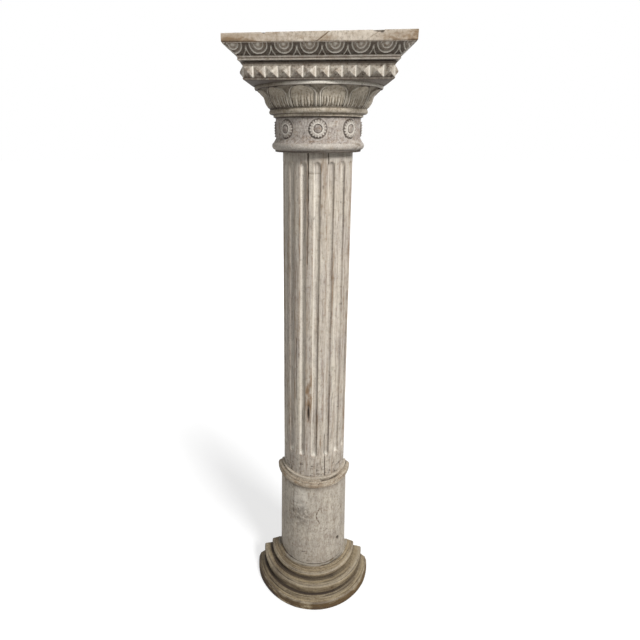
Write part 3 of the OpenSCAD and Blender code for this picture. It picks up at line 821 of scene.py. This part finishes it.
def nailheadPattern(kit, sizes, at):
    lift, pits = weather(kit, at, 0.3, 0.05, 0.4)
    up = at["up"]
    ground = reach("nailhead_block") - nailheads["cadProud"]
    jog = kit.noise(kit.vector(at["along"] * 0.03, 0.0, 2.0), 1.0, 1) - 0.5
    t = (at["along"] - sizes["shift"]) / sizes["pitch"]
    run = (t - t * t * sizes["skew"] + jog * 0.06) % 1.0
    flank = (0.5 - abs(run - 0.5)) * 2
    flank = flank.atMost((ground - abs(at["along"])) / (sizes["pitch"] * 0.42)).atLeast(0.0)
    row = sizes["headHigh"]
    level = (up / row + jog * 0.18 * flank).atLeast(0.0).atMost(1.0)
    pitch = (1 - abs(level - 0.5) * 2).atLeast(0.0)
    head = flank.atMost(pitch).atMost(sizes["blunt"])
    inRow = up.ease(-0.5, 0.2) * up.ease(row + 0.1, row - 0.3)
    valley = flank.ease(0.22, 0.06) * inRow
    fold = pitch.ease(0.16, 0.02) * inRow
    tip = head.ease(0.72, 0.9)
    steep = kit.sum("GREATER_THAN", flank, pitch) * inRow
    # painted shade on the lower facets, and on the upper facets under the egg moulding, with dirt
    over, shadedUnderside = steep * level.ease(0.45, 0.55), steep * level.ease(0.55, 0.45)
    # painted shadow in the recess above the band
    recess = up.ease(row + 6.8, row + 7.6)
    band = (1 - recess) * up.ease(row + 0.5, row + 5) * 0.8 + (1 - recess) * up.ease(row, row + 1) * 0.15
    # painted shade on the left-facing facets
    shady = run.ease(0.5, 0.4) * run.ease(0.02, 0.1) * (inRow - steep)
    rub = kit.noise(at["place"], 75, 4, 0.7).ease(0.5, 0.66)
    # the right-facing facets are whitened as painted highlight
    return {"lift": lift * (1 - recess) + head * sizes["proud"] * inRow,
            "bare": rub * 0.3 + tip * rub * 0.35 + fold * 0.15,
            "grime": pits * 0.45 + recess * 0.6 + shadedUnderside * (0.35 + rub * 0.4) + over * (0.2 + rub * 0.5)
            + fold * 0.4 + shady * rub * 0.3 + band + at["X"].ease(0, 160) * (0.16 + rub * 0.2),
            "paint": valley * 0.7 + tip * 0.15 * (1 - rub)
            + (inRow - steep) * run.ease(0.5, 0.6) * (1 - rub) * 0.15}


nailGround = reach("nailhead_block") - nailheads["cadProud"]
bandR = ovoloR + nailheads["bandOut"]
nailRow, bandTop = nailheads["headHigh"], nailheads["headHigh"] + nailheads["band"]
recessR = bandR - nailheads["recess"]
nailEdge = [(nailGround, 0), (nailGround, nailRow - 0.1), (nailGround + 0.6, nailRow + 0.3),
            (bandR, bandTop - 2), (bandR + 1, bandTop - 0.3), (recessR, bandTop),
            (recessR, tall("nailhead_block"))]
make("nailheadBlock", "nailhead_block", "capital_wood", nailEdge, nailheads,
     ("headHigh", "proud", "pitch", "skew", "shift", "blunt"), nailheadPattern, "nailheads", squareRows)


# egg-and-dart moulding
eggs = {"row": 1.1, "columns": (165, 350), "pitch": 56.6, "shift": 8.0, "halfWidth": 19.5,
        "halfHeight": 23.0, "down": 4.0, "depth": 3.6, "lean": 31.0, "fillet": 8.0, "topFillet": 2.0}


def eggPattern(kit, sizes, at):
    lift, pits = weather(kit, at, 0.4, 0.05, 0.5)
    up = at["up"]
    low, high = eggs["fillet"], tall("egg_and_dart_moulding") - eggs["topFillet"]
    onSlope = up.ease(low - 0.2, low + 1.2) * up.ease(high + 0.4, high - 0.6)
    slant = math.hypot(eggs["lean"] - 6, high - low) / (high - low)
    drop = (high - up) * slant - sizes["down"]
    cell = (at["along"] - sizes["shift"]) / sizes["pitch"]
    jog = (kit.noise(kit.vector(at["along"] * 0.018, 3.0, 1.0), 1.0, 1) - 0.5) * 4
    side = (cell % 1.0 - 0.5) * sizes["pitch"] + jog
    wide, long = sizes["halfWidth"], sizes["halfHeight"]
    q = kit.length(side / wide, drop / long) * wide
    q = q + (kit.noise(at["place"], 140, 2) - 0.5) * 1.2
    outer = abs(q - wide).ease(2.2, 0.6)
    coil = q + kit.sum("ARCTAN2", drop, side) * 0.55
    inner = abs(coil - wide * 0.56).ease(2.0, 0.5) * q.ease(wide * 0.85, wide * 0.75)
    boss = q.ease(wide * 0.26, wide * 0.10)
    egg = q.ease(wide * 0.95, wide * 0.2)
    # darts stand between the eggs and spread at their feet
    gap = abs(side) - sizes["pitch"] / 2
    spread = 0.9 + ((drop - 10.0).atLeast(0.0) / 16.0) ** 1.8 * 6.0
    dart = abs(abs(gap) - spread).ease(1.7, 0.5) * q.ease(wide + 2.0, wide + 4.0) * drop.ease(2.0, 8.0)
    heart = abs(gap).ease(spread * 0.8, 0.0) * 0.4
    ridge = outer.atLeast(inner).atLeast(dart).atLeast(boss * 0.8)
    seat = abs(up - low).ease(2.2, 0.4)
    ledge = abs(abs(up - 4.0) - 3.0).ease(1.5, 0.5)
    groove = abs(up - 4.0).ease(2.2, 0.8)
    rub = kit.noise(at["place"], 70, 4, 0.7).ease(0.48, 0.66)
    relief = (egg * 0.6 + heart * 0.3).atLeast(ridge) - 1
    # painted shade in the sunk ground and in the groove at the foot; the ridges take limewash and painted
    # highlight
    return {"lift": lift + relief * onSlope * sizes["depth"] - groove * 1.2,
            "bare": rub * 0.3 * (1 - ridge) + egg * 0.1,
            "grime": ((1 - ridge) * (0.42 + q.ease(wide - 3, wide + 3) * 0.3) - egg * 0.3) * onSlope
            + pits * 0.4 + groove * 0.75 + seat * 0.3 + up.ease(high - 3, high) * 0.4,
            "paint": ridge * onSlope * (0.95 - rub * 0.45) + ledge * (0.45 - rub * 0.25)}


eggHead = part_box("egg_and_dart_moulding")[1].x / mm
eggFoot = eggHead - eggs["lean"]
eggTop = tall("egg_and_dart_moulding")
slopeLow, slopeHigh = eggs["fillet"], eggTop - eggs["topFillet"]
eggEdge = [(eggFoot, 0), (eggFoot + 3, 0.3), (eggFoot + 4, 1.4), (eggFoot + 4, slopeLow - 0.2),
           (eggFoot + 3.2, slopeLow), (eggHead - 2, slopeHigh), (eggHead, slopeHigh + 0.2),
           (eggHead, eggTop)]
make("eggMoulding", "egg_and_dart_moulding", "capital_wood", eggEdge, eggs,
     ("pitch", "shift", "halfWidth", "halfHeight", "down", "depth"), eggPattern, "eggs", squareRows)


# top board. Notches in the top edge: place along the front, half width, half height
board = {"row": 1.3, "columns": (120, 260), "warp": 1.8, "chips": 3.0, "scarf": 10.0, "splitAt": 118.0,
         "notches": ((127, 9, 3.5), (136, 4.5, 6), (-120, 4, 2.5))}
boardR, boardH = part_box("top_board")[1].x / mm, tall("top_board")


def boardPattern(kit, sizes, at):
    lift, pits = weather(kit, at, 0.6, 0.1, 0.5)
    up = at["up"]
    front = at["Y"].ease(-60.0, -80.0)
    edge = up.ease(boardH - 5, boardH - 0.5)
    chips = kit.noise(at["place"], 30, 3, 0.7).ease(0.58, 0.72) * edge
    # a scarf joint and a split slant across the front edge
    rise = up - boardH / 2
    scarf = abs(at["along"] - sizes["scarf"] - rise * 1.5).ease(2.4, 0.8) * front
    split = abs(at["along"] - sizes["splitAt"] - rise * 1.9).ease(1.5, 0.4) * front * up.ease(3, 7)
    notch = sum(spot(kit, at["along"] - place, up - boardH, wide, high)
                for place, wide, high in board["notches"]) * front
    ends = abs(at["along"] - 10).ease(80, 200) * front
    mottle = kit.grained(at, (0.7, 0.7, 1.6), 36, 4, 0.7).ease(0.46, 0.62)
    low = up.ease(6, 0)
    smear = spot(kit, at["along"] - sizes["scarf"] - 8, up - 3, 16, 9, 0.8) * front
    return {"lift": lift * 0.8 - chips * sizes["chips"] - scarf * 0.9 - split * 0.8 - notch * 2.4,
            "rise": at["X"] / boardR * sizes["warp"] * up.ease(0.0, boardH),
            "bare": mottle * (ends * 0.9 + low * 0.5 + 0.15) + ends * 0.6 + smear * 0.5 + scarf * 0.8
            + split * 0.5 + chips * 0.3,
            "grime": pits * 0.4 + notch + scarf * 0.5 + split * 0.35 + ends * mottle * (0.2 + low * 0.5),
            "paint": (1 - mottle) * edge * 0.3}


boardEdge = [(boardR - 1, 0), (boardR, 1), (boardR, boardH - 1.2), (boardR - 1.2, boardH)]
make("topBoard", "top_board", "board_wood", boardEdge, board, ("warp", "chips", "scarf", "splitAt"),
     boardPattern, "board", squareRows)


# floor, lights and camera. Lamps: place, aim, size, power
studio = {"key": ((4.0, -4.6, 5.6), (0, 0, 0.9), 2.2, 600.0),
          "fill": ((-2.6, -2.4, 1.6), (0, 0, 1.0), 2.4, 16.0),
          "back": ((1.5, 4.0, 2.6), (0, 0, 0.9), 2.4, 60.0),
          "sky": 0.22, "floor": 0.5, "floorReach": 30, "floorLift": (0.6, 1.0), "liftApart": (0.5, 2.6)}


def lamp(name, place, aim, size, power):
    data = bpy.data.lights.new(name, "AREA")
    data.shape, data.size, data.energy = "DISK", size, power
    thing = bpy.data.objects.new(name, data)
    bpy.context.collection.objects.link(thing)
    thing.location = place
    thing.rotation_euler = (Vector(aim) - Vector(place)).to_track_quat("-Z", "Y").to_euler()


for name in ("key", "fill", "back"):
    lamp(name, *studio[name])


def seenDirectly(kit):
    rays = kit.node("ShaderNodeLightPath").socket.node.outputs
    kinds = ("Is Camera Ray", "Is Glossy Ray", "Is Transmission Ray")
    return sum(Value(kit, rays[key]) for key in kinds).atMost(1.0)


world = bpy.data.worlds.new("studio")
bpy.context.scene.world = world
world.use_nodes = True
kit = Kit(world.node_tree)
plain = kit.node("ShaderNodeBackground", {}, {"Color": (1, 1, 1, 1), "Strength": studio["sky"]})
white = kit.node("ShaderNodeBackground", {}, {"Color": (1, 1, 1, 1), "Strength": 1.0})
sky = kit.node("ShaderNodeMixShader", {}, {0: seenDirectly(kit), 1: plain, 2: white})
world.node_tree.links.new(sky.socket, world.node_tree.nodes["World Output"].inputs["Surface"])

floorMesh = bpy.data.meshes.new("floor")
far = studio["floorReach"]
floorMesh.from_pydata([(-far, -far, 0), (far, -far, 0), (far, far, 0), (-far, far, 0)], [], [(0, 1, 2, 3)])
floor = bpy.data.objects.new("floor", floorMesh)
bpy.context.collection.objects.link(floor)
paper = bpy.data.materials.new("paper")
paper.use_nodes = True
kit = Kit(paper.node_tree)
matt = kit.node("ShaderNodeBsdfDiffuse", {}, {"Color": (studio["floor"],) * 3 + (1,)})
# the paper whitens away from the column, so its shadow stays near the foot
point = kit.node("ShaderNodeTexCoord", out="Object")
apart = kit.node("ShaderNodeVectorMath", {"operation": "LENGTH"}, {0: point}, 1)
nearLift, farLift = studio["floorLift"]
lifted = seenDirectly(kit) * (nearLift + apart.ease(*studio["liftApart"]) * (farLift - nearLift))
glow = kit.node("ShaderNodeEmission", {}, {"Color": (1, 1, 1, 1), "Strength": lifted})
both = kit.node("ShaderNodeAddShader", {}, {0: matt, 1: glow})
paper.node_tree.links.new(both.socket, paper.node_tree.nodes["Material Output"].inputs["Surface"])
floorMesh.materials.append(paper)
floor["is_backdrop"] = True

# the lens looks down from the height of the necking
view = {"place": (0.0087, -1.2168, 1.6228), "turn": -0.0454, "dip": 0.388, "roll": -0.0018,
        "lens": 24.962, "sensor": 36, "shiftX": 0.0317, "shiftY": -0.0048}
turn, dip, roll = view["turn"], view["dip"], view["roll"]
ahead = Vector((math.sin(turn) * math.cos(dip), math.cos(turn) * math.cos(dip), -math.sin(dip)))
right = Vector((math.cos(turn), -math.sin(turn), 0))
above = right.cross(ahead)
level = right * math.cos(roll) + above * math.sin(roll)
plumb = above * math.cos(roll) - right * math.sin(roll)
cameraData = bpy.data.cameras.new("camera")
cameraData.lens, cameraData.sensor_width = view["lens"], view["sensor"]
cameraData.shift_x, cameraData.shift_y = view["shiftX"], view["shiftY"]
camera = bpy.data.objects.new("camera", cameraData)
bpy.context.collection.objects.link(camera)
turned = Matrix((level, plumb, -ahead)).transposed().to_4x4()
camera.matrix_world = Matrix.Translation(view["place"]) @ turned
bpy.context.scene.camera = camera
bpy.context.scene.view_settings.view_transform = "Standard"

low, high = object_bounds()
print("scene ready")
